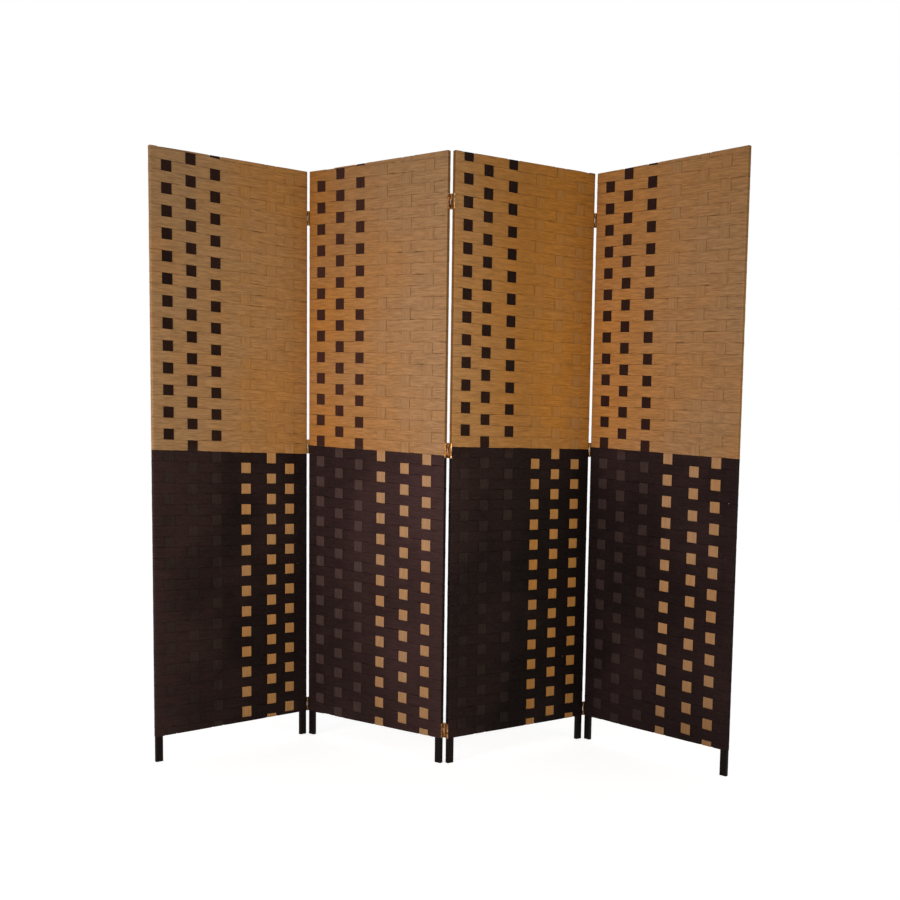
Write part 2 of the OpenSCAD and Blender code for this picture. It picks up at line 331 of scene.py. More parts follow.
def strips_object(name, strips, p, fading, painted_shade_across):
    """One object on panel p from strips of (points[n, m, 3], along[n + 1], across[n, m], closed).

    UV map "tape" runs along and across the tape, in metres. A second UV map holds the share of
    painted light across the panel, and a third how far painted shade darkens the tape, most of
    all on the narrow sides of the panel. Both hold the height as well.
    """
    verts, quads, quad_uv, caps, cap_uv, start = [], [], [], [], [], 0
    for points, along, across, closed in strips:
        faces, uv = strip_arrays(points, along, across, closed)
        quads.append(faces + start)
        quad_uv.append(uv.reshape(-1, 2))
        n, m = points.shape[:2]
        if not closed:
            for ring, order in ((0, range(m)), (n - 1, range(m - 1, -1, -1))):
                caps.append([start + ring * m + k for k in order])
                cap_uv += [(along[ring], across[ring, k]) for k in order]
        verts.append(points.reshape(-1, 3))
        start += n * m
    verts = np.concatenate(verts)
    mesh = bpy.data.meshes.new(name)
    mesh.from_pydata(verts.tolist(), [], np.concatenate(quads).tolist() + caps)
    corners = np.empty(len(mesh.loops), np.int32)
    mesh.loops.foreach_get("vertex_index", corners)
    x, _, z = verts[corners].T
    thirds = (0, PANEL_WIDTH / 2, PANEL_WIDTH)
    # Painted shade: across the faces, towards the floor, and on the narrow sides.
    left, right = EDGE_PAINTED_SHADE[p - 1]
    grime = np.maximum(
        np.interp(x, thirds, painted_shade_across) + PAINTED_SHADE_LOW[p - 1] * (1 - ramp(z, FOOT, FOOT + LOW_REACH)),
        left * (1 - ramp(x, *EDGE_WIDTH)) + right * (1 - ramp(PANEL_WIDTH - x, *EDGE_WIDTH)))
    tape = np.concatenate([*quad_uv, np.array(cap_uv).reshape(-1, 2)])
    # Painted light from the left to the right, and painted shade, each with the height.
    for key, values in (("tape", tape), ("fading", np.stack([np.interp(x, thirds, fading), z], -1)),
                        ("grime", np.stack([grime, z], -1))):
        mesh.uv_layers.new(name=key).uv.foreach_set("vector", values.astype(np.float32).ravel())
    mesh.transform(panel_place(p))
    mesh.shade_smooth()
    return added(name, mesh)


def smooth_noise(rng, places, spacing, size):
    """Smooth random values at these places along a line."""
    t = places / spacing
    cell = np.floor(t).astype(int)
    knots = rng.normal(0.0, size, cell.max() + 2)
    f = t - cell
    f = f * f * (3 - 2 * f)
    return knots[cell] * (1 - f) + knots[cell + 1] * f


def ramp(value, low, high):
    """Smooth rise from 0 at low to 1 at high."""
    t = np.clip((value - low) / (high - low), 0, 1)
    return t * t * (3 - 2 * t)


def panel_place(p):
    """Matrix from a panel's own frame, x along it and -y its front, to the row frame."""
    ends = []
    for side in ("left", "right"):
        low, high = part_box(f"stile_{side}_{p}")
        ends.append(((low + high) / 2).xy)
    way = ends[1] - ends[0]
    start = ends[0] - way.normalized() * (PANEL_WIDTH - way.length) / 2
    turn = Matrix.Rotation(math.atan2(way.y, way.x), 4, "Z")
    return Matrix.Translation((start.x, start.y, 0)) @ turn


# The weave


class Weave:
    """Where the rows and the upright tapes of one panel lie."""

    def __init__(self, p):
        self.p = p
        self.colour_z, self.fall = COLOUR_Z[p - 1], ROW_FALL[p - 1]
        self.tan, self.dark = TAN_ROW[p - 1], DARK_ROW[p - 1]
        self.centres = TAPE_CENTRES[p - 1]

    def edge(self, r, x, back):
        """Height of the lower edge of row r at x; row 0 is the lowest tan row."""
        front_fall = self.fall * x / PANEL_WIDTH
        back_fall = self.fall + (self.tan - self.fall) * (1 - x / PANEL_WIDTH)
        pitch = np.where(np.asarray(r) < 0, self.dark, self.tan)
        return self.colour_z - np.where(back, back_fall, front_fall) + r * pitch

    def shows(self, c, r, back):
        """Whether upright tape c lies over row r."""
        x = self.centres[c]
        low = max(FOOT, float(self.edge(r, x, back)))
        high = min(TOP, float(self.edge(r + 1, x, back)))
        return (r + c + self.p) % 2 == 0 and high - low >= LEAST_SQUARE + ROW_GAP

    def rows(self):
        """Highest and lowest row that the panel holds."""
        high = int((TOP - self.colour_z + self.tan) / self.tan) + 1
        low = -int((self.colour_z - FOOT) / self.dark) - 1
        return high, low

    def slope(self, back):
        """Rise of a row along one face, per metre of x."""
        return (self.tan - self.fall if back else -self.fall) / PANEL_WIDTH


def face_stations(centres):
    """Places along a face, closer where the wound tape climbs over an upright one."""
    ends = [CORNER, PANEL_WIDTH - CORNER]
    climbs = [c + side * d for c in centres for d in CLIMB_PLACES for side in (-1, 1)]
    places = sorted(ends + [x for x in climbs if ends[0] + EDGE_MARGIN < x < ends[1] - EDGE_MARGIN])
    filled = []
    for a, b in zip(places, places[1:]):
        steps = max(1, round((b - a) / STATION_SPACING))
        filled += [a + (b - a) * k / steps for k in range(steps)]
    return np.array(filled + places[-1:])


def turn_stations(weave):
    """One turn round the panel, in rows of x, y, outward normal, back share and left share."""
    xs = face_stations(weave.centres)
    half = PANEL_DEPTH / 2
    flat = half - CORNER
    rows = [(x, -half, 0, -1, 0, 0) for x in xs]

    def arc(cx, cy, first, back_from, back_to):
        for k in range(1, ARC_STEPS):
            t = k / ARC_STEPS
            a = math.radians(first + 90 * t)
            nx, ny = math.cos(a), math.sin(a)
            rows.append((cx + CORNER * nx, cy + CORNER * ny, nx, ny,
                         back_from + (back_to - back_from) * t, 0))

    near, far = SIDE_SHARES
    arc(PANEL_WIDTH - CORNER, -flat, -90, 0, near)
    rows += [(PANEL_WIDTH, y, 1, 0, b, 0)
             for y, b in ((-flat, near), (0, (near + far) / 2), (flat, far))]
    arc(PANEL_WIDTH - CORNER, flat, 0, far, 1)
    rows += [(x, half, 0, 1, 1, 0) for x in xs[::-1]]
    left_from = len(rows)
    arc(CORNER, flat, 90, 1, 1)
    rows += [(0, y, -1, 0, 1, 0) for y in (flat, 0, -flat)]
    arc(CORNER, -flat, 180, 1, 1)
    table = np.array(rows, float)
    count = len(rows) - left_from
    table[left_from:, 5] = ramp(np.arange(1, count + 1), 0, count + 1)
    return table


def tape_section(sizes):
    """Share of the width, depth, and share of each edge's drop, of the points round a tape."""
    n = sizes.cords
    outer = [(k / (2 * n), 0.0 if k % 2 else -sizes.groove, 0, 0) for k in range(2 * n + 1)]
    outer[0] = (0.0, 0.0, 1, 0)
    outer[-1] = (1.0, 0.0, 0, 1)
    # Within a quarter of a cord, an edge comes up by three quarters of its drop.
    quarter = 0.25
    outer.insert(1, (quarter / n, 0.0, quarter, 0))
    outer.insert(-1, (1 - quarter / n, 0.0, 0, quarter))
    inner = [(1 - INNER_INSET, -sizes.thickness, 0, 0), (INNER_INSET, -sizes.thickness, 0, 0)]
    return np.array(outer + inner).T


def turned_in(z, off, top, foot, radius):
    """Rolls what would pass the weave's upper or lower edge over that edge and inwards."""
    for edge, way in ((top, 1), (foot, -1)):
        centre = edge - way * radius
        past = np.maximum((z - centre) * way, 0)
        bend = np.minimum(past / radius, math.pi / 2)
        reach = np.maximum(radius + off, LEAST_ROLL)
        further = (past - radius * bend) * TURNED_SHARE
        z = np.where(past > 0, centre + way * np.minimum(reach, radius) * np.sin(bend), z)
        off = np.where(past > 0, reach * np.cos(bend) - radius - further, off)
    return z, off


def over_and_under(weave, r, turn, sizes):
    """How far row r stands out at each station, and how far an upright tape hides it."""
    rise, hidden = np.zeros(len(turn)), np.zeros(len(turn))
    for c, centre in enumerate(weave.centres):
        near = 1 - ramp(np.abs(turn[:, 0] - centre), *CLIMB)
        for back, facing in ((False, -1), (True, 1)):
            on = (turn[:, 3] == facing) * near
            beneath = weave.shows(c, r, back)
            rise += on * (-sizes.under if beneath else sizes.over)
            hidden += on * beneath
    return rise, hidden


def wound_rows(weave, sizes):
    """The two strips of a panel's wound tape: tan from the top down, then dark."""
    rng = np.random.default_rng(SEEDS["rows"] + weave.p)
    turn = turn_stations(weave)
    x, y, nx, ny, back, left = turn.T
    step = np.hypot(*np.diff(np.vstack([turn, turn[:1]])[:, :2], axis=0).T)
    high, low = weave.rows()
    turns = high - low + 1
    gone = np.concatenate([[0], np.cumsum(step)[:-1]])
    run = np.arange(turns + 1)[:, None] * step.sum() + gone

    def uneven(spacing, size):
        return smooth_noise(rng, run.ravel(), spacing, size).reshape(run.shape)

    stray = uneven(STRAY_EVERY, sizes.stray)
    slack = np.clip(uneven(SLACK_EVERY, 1.0) - SLACK_FROM, 0, SLACK_MOST)
    loose = slack * sizes.loose_gap + sizes.gap
    drop = (TIGHT_DROP + slack) * sizes.edge_drop
    lean = uneven(LEAN_EVERY, sizes.tilt)
    swell = uneven(SWELL_EVERY, SWELL)
    share, depth, lower_edge, upper_edge = tape_section(sizes)

    def boundary(row, straying):
        """Height of a row's lower edge; on the left side it comes down to the next turn's."""
        at = weave.edge(row, x, False) * (1 - back) + weave.edge(row, x, True) * back
        return at * (1 - left) + weave.edge(row - 1, 0.0, False) * left + straying

    strips = []
    for rows, shade in ((range(high, -1, -1), "tan"), (range(-1, low - 1, -1), "dark")):
        parts = []
        for r in rows:
            # Turns are counted from the top, and this one's upper edge is the last one's lower.
            k = high - r + 1
            bottom = boundary(r, stray[k]) + loose[k] / 2
            upper = boundary(r + 1, stray[k - 1]) - loose[k - 1] / 2
            rise, hidden = over_and_under(weave, r, turn, sizes)
            rise = rise + swell[k] * (1 - hidden)
            tilt = lean[k][:, None] * (share - 0.5)[None, :] * 2 * (1 - hidden)[:, None]
            z = bottom[:, None] + (upper - bottom)[:, None] * share[None, :]
            off = rise[:, None] + depth[None, :] + np.maximum(tilt, -MOST_LEAN_IN)
            off = off - drop[k][:, None] * lower_edge - drop[k - 1][:, None] * upper_edge
            lower = BENEATH * hidden[:, None]
            z, off = turned_in(z, off, TOP - lower, FOOT + lower, sizes.thickness)
            placed = (x[:, None] + nx[:, None] * off, y[:, None] + ny[:, None] * off, z)
            points = np.stack(placed, -1)
            if r == -1:
                # The dark tape starts level on the left side, a little before its first row.
                start = left > 0.5
                lead = points[start]
                lead[:, :, 2] = z[0][None, :]
                height = np.full(start.sum(), upper[0] - bottom[0])
                parts.append((lead, run[k - 1][start], height))
            keep = (bottom < TOP - END_MARGIN) & (upper > FOOT + END_MARGIN)
            if r == 0:
                # The tan tape ends before the left side, where the dark one starts.
                keep &= left < 0.5
            parts.append((points[keep], run[k][keep], (upper - bottom)[keep]))
        points, along, height = (np.concatenate(part) for part in zip(*parts))
        across = share[None, :] * height[:, None]
        # The section runs from the upper edge to the lower one, so the faces look outwards.
        points, across = points[:, ::-1], across[:, ::-1]
        strips.append(((points, np.append(along, along[-1]), across, False), shade))
    return strips


def upright_side(weave, c, back, sizes, rng):
    """Heights and rises of upright tape c on one face, from the bottom to the top."""
    xc = weave.centres[c]
    high, low = weave.rows()
    knots = []
    for r in range(low, high + 1):
        zl, zh = (float(weave.edge(row, xc, back)) for row in (r, r + 1))
        if zh < FOOT + EDGE_MARGIN or zl > TOP - EDGE_MARGIN:
            continue
        if not weave.shows(c, r, back):
            knots += [(zl + HIDDEN_FROM, -sizes.under), (zh - HIDDEN_FROM, -sizes.under)]
            continue
        up = sizes.proud + float(rng.uniform(-SQUARE_UNEVEN, SQUARE_UNEVEN))
        climb = [(d, -sizes.under * beneath + up * over) for d, beneath, over in SQUARE_END]
        knots += [(zl + d, h) for d, h in climb]
        knots.append(((zl + zh) / 2, up + SQUARE_CROWN))
        knots += [(zh - d, h) for d, h in reversed(climb)]
    zs, hs = np.array(knots).T
    ends = np.array([FOOT + TURN_RADIUS, TOP - TURN_RADIUS])
    inside = (zs > ends[0]) & (zs < ends[1])
    end_h = np.interp(ends, zs, hs)
    return (np.concatenate([ends[:1], zs[inside], ends[1:]]),
            np.concatenate([end_h[:1], hs[inside], end_h[1:]]))


def upright_tape(weave, c, sizes, rng):
    """The closed strip of one upright tape, under and over the rows of both faces."""
    half = PANEL_DEPTH / 2
    (zf, hf), (zb, hb) = (upright_side(weave, c, back, sizes, rng) for back in (False, True))

    def fold(h_from, h_to, side, z_end, up):
        """Quarter turn, a flat run over the rail, and a quarter turn down the other face."""

        def turned(h, sign, steps):
            for k in steps:
                a = math.pi / 2 * k / TURN_STEPS
                yield (sign * (half + h - TURN_RADIUS * (1 - math.cos(a))),
                       z_end + up * (TURN_RADIUS * (math.sin(a) - 1)),
                       sign * math.cos(a), up * math.sin(a), 0.0)

        y0, y1 = side * (half + h_from - TURN_RADIUS), -side * (half + h_to - TURN_RADIUS)
        return [*turned(h_from, side, range(1, TURN_STEPS)),
                *((y0 + (y1 - y0) * t, z_end, 0.0, up, 0.0) for t in RAIL_PLACES),
                *turned(h_to, -side, range(TURN_STEPS - 1, 0, -1))]

    def slant(z, back):
        return weave.slope(back) * float(
            ramp(z, FOOT, FOOT + SLANT_EASE) * ramp(TOP - z, 0, SLANT_EASE))

    # Rows of y, z, outward normal in y and z, and how much the tape slants like its rows.
    path = np.array([
        *((-(half + h), z, -1.0, 0.0, slant(z, False)) for z, h in zip(zf, hf)),
        *fold(hf[-1], hb[-1], -1, TOP, 1),
        *((half + h, z, 1.0, 0.0, slant(z, True)) for z, h in zip(zb[::-1], hb[::-1])),
        *fold(hb[0], hf[0], 1, FOOT, -1)])
    share, depth, lower_edge, upper_edge = tape_section(sizes)
    depth = depth - sizes.edge_drop * (lower_edge + upper_edge)
    sx = (share - 0.5) * TAPE_WIDTH
    n = len(path)
    y, z, ny, nz, shear = (path[:, k][:, None] for k in range(5))
    points = np.stack([
        np.broadcast_to(weave.centres[c] + sx, (n, len(sx))),
        y + ny * depth, z + nz * depth + shear * sx], -1)
    gaps = np.linalg.norm(np.diff(np.vstack([path, path[:1]])[:, :2], axis=0), axis=1)
    along = np.concatenate([[0], np.cumsum(gaps)]) + TAPE_APART * c
    across = np.broadcast_to(share * TAPE_WIDTH, (n, len(share)))
    return points, along, across, True


# The screws


def tapered(sections):
    """Closed mesh through these rings of points, one face over each end."""
    work = bmesh.new()
    rings = [[work.verts.new(point) for point in ring] for ring in sections]
    for one, two in zip(rings, rings[1:]):
        for k in range(len(one)):
            work.faces.new((one[k], one[k - 1], two[k - 1], two[k]))
    work.faces.new(rings[0])
    work.faces.new(rings[-1][::-1])
    bmesh.ops.recalc_face_normals(work, faces=work.faces)
    mesh = bpy.data.meshes.new("tapered")
    work.to_mesh(mesh)
    work.free()
    return mesh


def cross_screw(sizes):
    """A countersunk screw driven towards -x, its head's face at x = 0, with a cross recess."""
    head, shank, reach = sizes.head / 2, sizes.shank / 2, sizes.screw
    turns = [2 * math.pi * k / SCREW_SIDES for k in range(SCREW_SIDES)]
    outline = ((0, head), (-LEAF, shank), (shank * 2 - reach, shank),
               (-reach, shank * SCREW_POINT))
    screw = tapered([[(x, r * math.cos(a), r * math.sin(a)) for a in turns] for x, r in outline])
    arm, half = sizes.recess / 2, sizes.recess / 8
    quarter = ((arm, -half), (arm, half), (half, half))
    cross = []
    for _ in range(4):
        cross += quarter
        quarter = tuple((-z, y) for y, z in quarter)
    recess = tapered([[(x, y * k, z * k) for y, z in cross]
                      for x, k in zip((RECESS_OUT, -RECESS_DEPTH), RECESS_TAPER)])
    objects = [added(mesh.name, mesh) for mesh in (screw, recess)]
    carve = objects[0].modifiers.new("recess", "BOOLEAN")
    carve.operation, carve.solver, carve.object = "DIFFERENCE", "EXACT", objects[1]
    bpy.context.view_layer.update()
    seen = objects[0].evaluated_get(bpy.context.evaluated_depsgraph_get())
    carved = bpy.data.meshes.new_from_object(seen)
    for obj in objects:
        bpy.data.objects.remove(obj)
    return carved


def screws_object(name, screw, p, right, rng):
    """The screws in one edge of panel p, each turned to its own angle."""
    work = bmesh.new()
    x, facing = (PANEL_WIDTH + LEAF, 0.0) if right else (-LEAF, math.pi)
    for height in HINGE_Z:
        for offset in (-SCREW_PITCH / 2, SCREW_PITCH / 2):
            one = screw.copy()
            one.transform(
                panel_place(p) @ Matrix.Translation((x, 0, height + offset))
                @ Matrix.Rotation(facing, 4, "Z")
                @ Matrix.Rotation(rng.uniform(0, math.pi / 2), 4, "X"))
            work.from_mesh(one)
            bpy.data.meshes.remove(one)
    mesh = bpy.data.meshes.new(name)
    work.to_mesh(mesh)
    work.free()
    mesh.shade_smooth()
    mesh.set_sharp_from_angle(angle=math.radians(30))
    return added(name, mesh)


# Materials


class Wiring:
    """Short ways to add and join nodes in a tree."""

    def __init__(self, tree):
        self.tree = tree

    def put(self, socket, value):
        if isinstance(value, bpy.types.NodeSocket):
            self.tree.links.new(value, socket)
        elif value is not None:
            socket.default_value = value

    def add(self, kind, *values, **settings):
        node = self.tree.nodes.new(kind)
        for key, value in settings.items():
            setattr(node, key, value)
        for socket, value in zip(node.inputs, values):
            self.put(socket, value)
        return node

    def fill_in(self, node, **values):
        """Sets or joins the inputs with these names, in which _ stands for a space."""
        for key, value in values.items():
            self.put(node.inputs[key.replace("_", " ")], value)
        return node

    def group(self, tree, **values):
        return self.fill_in(self.add("ShaderNodeGroup", node_tree=tree), **values).outputs

    def uv(self, name):
        return self.add("ShaderNodeUVMap", uv_map=name).outputs[0]

    def parts(self, vector):
        return self.add("ShaderNodeSeparateXYZ", vector).outputs

    def vector(self, *values):
        return self.add("ShaderNodeCombineXYZ", *values).outputs[0]

    def math(self, operation, *values):
        return self.add("ShaderNodeMath", *values, operation=operation).outputs[0]

    def times(self, one, two):
        return self.math("MULTIPLY", one, two)

    def plus(self, one, two):
        return self.math("ADD", one, two)

    def mix(self, share, a, b, blend="MIX"):
        node = self.add("ShaderNodeMix", data_type="RGBA", blend_type=blend)
        for key, value in (("Factor_Float", share), ("A_Color", a), ("B_Color", b)):
            self.put(next(s for s in node.inputs if s.identifier == key), value)
        return next(s for s in node.outputs if s.identifier == "Result_Color")

    def noise(self, vector, scale, detail, roughness):
        node = self.add("ShaderNodeTexNoise")
        self.fill_in(node, Vector=vector, Scale=scale, Detail=detail, Roughness=roughness)
        return node.outputs["Fac"]

    def spread(self, value, low, high, to_low=0.0, to_high=1.0):
        node = self.add("ShaderNodeMapRange", interpolation_type="SMOOTHSTEP")
        self.fill_in(node, Value=value, From_Min=low, From_Max=high, To_Min=to_low, To_Max=to_high)
        return node.outputs["Result"]

    def stretched(self, vector, scale):
        return self.fill_in(self.add("ShaderNodeMapping"), Vector=vector, Scale=scale).outputs[0]


def new_material(name):
    """A material, its one shader, and the wiring of its tree."""
    material = bpy.data.materials.new(name)
    material.use_nodes = True
    tree = material.node_tree
    tree.nodes.clear()
    shader = tree.nodes.new("ShaderNodeBsdfPrincipled")
    out = tree.nodes.new("ShaderNodeOutputMaterial")
    tree.links.new(shader.outputs["BSDF"], out.inputs["Surface"])
    return material, shader, Wiring(tree)


def cover(w, shader, base, roughness, relief, depth, strength=1.0):
    """Joins a colour, a roughness and a relief of this depth to a shader."""
    bump = w.fill_in(w.add("ShaderNodeBump"), Strength=strength, Distance=depth, Height=relief)
    w.fill_in(shader, Base_Color=base, Roughness=roughness, Normal=bump.outputs["Normal"])


def group(name, inputs, outputs, fill):
    """A shader node group, built once. Inputs have defaults, or None for a vector."""
    if name in bpy.data.node_groups:
        return bpy.data.node_groups[name]
    tree = bpy.data.node_groups.new(name, "ShaderNodeTree")
    for key, value in inputs.items():
        kind = "NodeSocketVector" if value is None else "NodeSocketFloat"
        socket = tree.interface.new_socket(key, in_out="INPUT", socket_type=kind)
        if value is not None:
            socket.default_value = value
    for key in outputs:
        tree.interface.new_socket(key, in_out="OUTPUT", socket_type="NodeSocketFloat")
    start, end = tree.nodes.new("NodeGroupInput"), tree.nodes.new("NodeGroupOutput")
    for key, socket in fill(Wiring(tree), start.outputs).items():
        tree.links.new(socket, end.inputs[key])
    return tree


def cord_group():
    """Twisted paper cords side by side, running along U."""

    def fill(w, given):
        along, across, _ = w.parts(given["Place"])
        lane = w.math("DIVIDE", across, given["Cord"])
        number, within = w.math("FLOOR", lane), w.math("FRACT", lane)

        def drawn_out(scale, other, other_scale, start, detail):
            """Noise along the tape; the values of start keep one apart from another."""
            place = w.vector(w.times(along, scale), w.times(other, other_scale), start)
            return w.noise(place, 1.0, detail, 0.6)

        cord_tone = drawn_out(20.0, number, 3.7, 0.0, 2.0)
        streak = drawn_out(34.0, across, 420.0, 2.0, 3.0)
        fibre = drawn_out(700.0, across, 1900.0, 5.0, 2.0)
        dash = w.spread(drawn_out(26.0, across, 0.0, 8.0, 3.0), 0.5, 0.6)

        random_start = w.add("ShaderNodeTexWhiteNoise", None, number,
                             noise_dimensions="1D").outputs["Value"]
        slant = w.plus(w.math("DIVIDE", along, given["Twist"]), w.times(within, 0.9))
        wave = w.math("SINE", w.times(w.plus(slant, random_start), 2 * math.pi))
        off_middle = w.math("ABSOLUTE", w.math("SUBTRACT", w.times(within, 2.0), 1.0))
        crest = w.math("SUBTRACT", 1.0, off_middle)
        twist = w.spread(wave, -1.0, 0.3)
        return {
            "Tone": w.plus(w.times(cord_tone, 0.6), w.times(streak, 0.4)),
            # Crevice is 1 in the groove between two cords, where the tape takes painted shade.
            "Crevice": w.spread(crest, 0.0, 0.42, 1.0, 0.0),
            "Height": w.plus(w.times(twist, 0.6), w.plus(w.times(fibre, 0.5), crest)),
            "Fibre": fibre,
            # Seam is dashes along one edge of a tape, where it takes a painted shadow.
            "Seam": w.times(dash, w.spread(across, 0.0008, 0.0028, 1.0, 0.0)),
        }

    return group("Twisted cords", {"Place": None, "Cord": 0.003, "Twist": 0.0042},
                 ("Tone", "Crevice", "Height", "Fibre", "Seam"), fill)


def wear_group():
    """Slow patches of light and dark over a surface, with fine dust."""

    def fill(w, given):
        patches = w.noise(given["Place"], given["Patch Scale"], 4.0, 0.6)
        dust = w.noise(given["Place"], given["Dust Scale"], 3.0, 0.7)
        return {"Patches": w.spread(patches, 0.3, 0.7), "Dust": w.spread(dust, 0.45, 0.75)}

    return group("Patches and dust", {"Place": None, "Patch Scale": 5.0, "Dust Scale": 120.0},
                 ("Patches", "Dust"), fill)


def scaled(rgb, k):
    """A colour k times as bright, with its alpha."""
    return tuple(min(1.0, c * k) for c in rgb) + (1.0,)


def tape_material(name, shaded, lit, cord, contrast, seam_shadow, upper=None, lower=None):
    """Matte paper cords of uneven tone, with painted light and shade, also in grooves and seams."""
    material, shader, w = new_material(name)
    fading, height, _ = w.parts(w.uv("fading"))
    grime = w.parts(w.uv("grime"))[0]
    cords = w.group(cord_group(), Place=w.uv("tape"), Cord=cord)
    spot = w.add("ShaderNodeTexCoord").outputs["Object"]
    wear = w.group(wear_group(), Place=spot, Patch_Scale=3.0, Dust_Scale=260.0)

    # Painted light and shade: the shaded colour in the folds and the lit one on forward edges.
    uneven = w.spread(wear["Patches"], 0.0, 1.0, -PATCHES, PATCHES)
    base = w.mix(w.plus(fading, uneven), (*shaded, 1), (*lit, 1))
    if upper:
        halves = w.mix(w.spread(height, *SHADES_MEET), (*lower, 1), (*upper, 1))
        base = w.mix(1.0, base, halves, "MULTIPLY")
    # Painted shade in the crevices between cords, over the cords' uneven tone.
    tone = w.times(w.spread(cords["Tone"], 0.34, 0.66, 1 - contrast, 1 + contrast),
                   w.spread(cords["Crevice"], 0.0, 1.0, 1.0, CREVICE_SHADE))
    base = w.mix(1.0, base, w.vector(tone, tone, tone), "MULTIPLY")
    # Painted shadow in dashes along a seam, painted shade on the faces and narrow sides, then dust.
    base = w.mix(w.times(cords["Seam"], seam_shadow), base, scaled(shaded, SEAM_SHADOW_TONE))
    base = w.mix(w.times(grime, PAINTED_SHADE_COVER), base, scaled(shaded, PAINTED_SHADE_TONE))
    base = w.mix(w.times(wear["Dust"], TAPE_DUST_COVER), base, TAPE_DUST)
    cover(w, shader, base, w.spread(cords["Fibre"], 0.2, 0.8, 0.62, 0.84), cords["Height"],
          CORD_RELIEF, 0.7)
    w.fill_in(shader, Specular_IOR_Level=SHEEN)
    return material


def wood_material(rgb):
    """Dark stained wood: long grain, fine pores and a satin coat worn on its high spots."""
    material, shader, w = new_material("Stained wood")
    spot = w.add("ShaderNodeTexCoord").outputs["Object"]
    upright = w.stretched(spot, (60.0, 60.0, 2.2))
    grain = w.noise(upright, 3.0, 6.0, 0.62)
    pores = w.noise(upright, 22.0, 2.0, 0.5)
    wear = w.group(wear_group(), Place=spot, Patch_Scale=9.0, Dust_Scale=300.0)
    base = w.mix(w.spread(grain, 0.35, 0.65), scaled(rgb, 0.6), scaled(rgb, 1.7))
    base = w.mix(w.spread(pores, 0.6, 0.72, 0.0, 0.5), base, scaled(rgb, 0.3))
    base = w.mix(w.times(wear["Dust"], WOOD_DUST_COVER), base, WOOD_DUST)
    cover(w, shader, base, w.spread(grain, 0.3, 0.7, 0.42, 0.6),
          w.plus(grain, w.times(pores, 0.6)), GRAIN_RELIEF)
    w.fill_in(shader, Specular_IOR_Level=SHEEN)
    return material


def brass_material(name, rgb, dull, patch_low, roughness):
    """Brass that has tarnished in patches and is scratched where it is bright."""
    material, shader, w = new_material(name)
    spot = w.add("ShaderNodeTexCoord").outputs["Object"]
    wear = w.group(wear_group(), Place=spot, Patch_Scale=130.0, Dust_Scale=900.0)
    scratch = w.noise(w.stretched(spot, (1500.0, 1500.0, 90.0)), 1.0, 3.0, 0.7)
    patches = w.spread(wear["Patches"], patch_low, patch_low + 0.55)
    base = w.mix(patches, scaled(rgb, 1.0), scaled(dull, 1.0))
    base = w.mix(w.times(wear["Dust"], 0.25), base, scaled(dull, 0.6))
    brushed = w.spread(scratch, 0.3, 0.7, roughness - 0.06, roughness + 0.08)
    cover(w, shader, base, w.plus(brushed, w.times(patches, 0.2)), scratch, SCRATCH_RELIEF)
    w.fill_in(shader, Metallic=1.0)
    return material


def seen_as_background(w):
    """1 for the rays that show the background: straight to the camera, mirrored or through."""
    ray = w.add("ShaderNodeLightPath").outputs
    return w.math("MAXIMUM", ray["Is Camera Ray"],
                  w.math("MAXIMUM", ray["Is Glossy Ray"], ray["Is Transmission Ray"]))


def finish_nodes(names, material):
    """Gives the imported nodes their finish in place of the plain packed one."""
    for name in names:
        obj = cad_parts[name]
        obj.data.materials.clear()
        obj.data.materials.append(material)


# The stage


def pale_floor(settings):
    """A matte floor that whitens for the camera."""
    half = settings.floor_size / 2
    mesh = bpy.data.meshes.new("floor")
    mesh.from_pydata([(-half, -half, 0), (half, -half, 0), (half, half, 0), (-half, half, 0)],
                     [], [(0, 1, 2, 3)])
    material, shader, w = new_material("Pale floor")
    w.fill_in(shader, Base_Color=(*settings.floor, 1), Roughness=FLOOR_ROUGHNESS,
              Emission_Color=(1, 1, 1, 1),
              Emission_Strength=w.times(seen_as_background(w), settings.floor_glow))
    mesh.materials.append(material)
    floor = added("floor", mesh)
    floor.location.z = -FLOOR_DROP
    return floor


def studio_world(settings):
    """White for the camera, and a weaker light from all round for the rest."""
    world = bpy.data.worlds.new("Studio")
    world.use_nodes = True
    tree = world.node_tree
    tree.nodes.clear()
    w = Wiring(tree)
    strength = w.plus(w.times(seen_as_background(w), 1 - settings.ambient), settings.ambient)
    back = w.add("ShaderNodeBackground", (1, 1, 1, 1), strength)
    w.add("ShaderNodeOutputWorld", back.outputs[0])
    return world


def soft_light(name, place, energy, tint, settings):
    """A square lamp that faces the screen."""
    data = bpy.data.lights.new(name, "AREA")
    data.shape, data.size, data.spread = "SQUARE", settings.light_size, settings.light_spread
    data.energy, data.color = energy, tint
    way = Vector(settings.light_aim) - Vector(place)
    turn = way.to_track_quat("-Z", "Y").to_matrix().to_4x4()
    added(name, data).matrix_world = Matrix.Translation(place) @ turn


def stage_camera(settings):
    """The camera as it was fitted to the photo."""
    data = bpy.data.cameras.new("camera")
    data.sensor_width = SENSOR_WIDTH
    data.lens = settings.lens
    data.shift_x, data.shift_y = settings.shift
    data.clip_end = VIEW_END
    camera = added("camera", data)
    camera.matrix_world = (
        Matrix.Translation(settings.camera)
        @ Matrix.Rotation(math.pi / 2 - settings.pitch, 4, "X")
        @ Matrix.Rotation(settings.roll, 4, "Z"))
    return camera


# Pieces


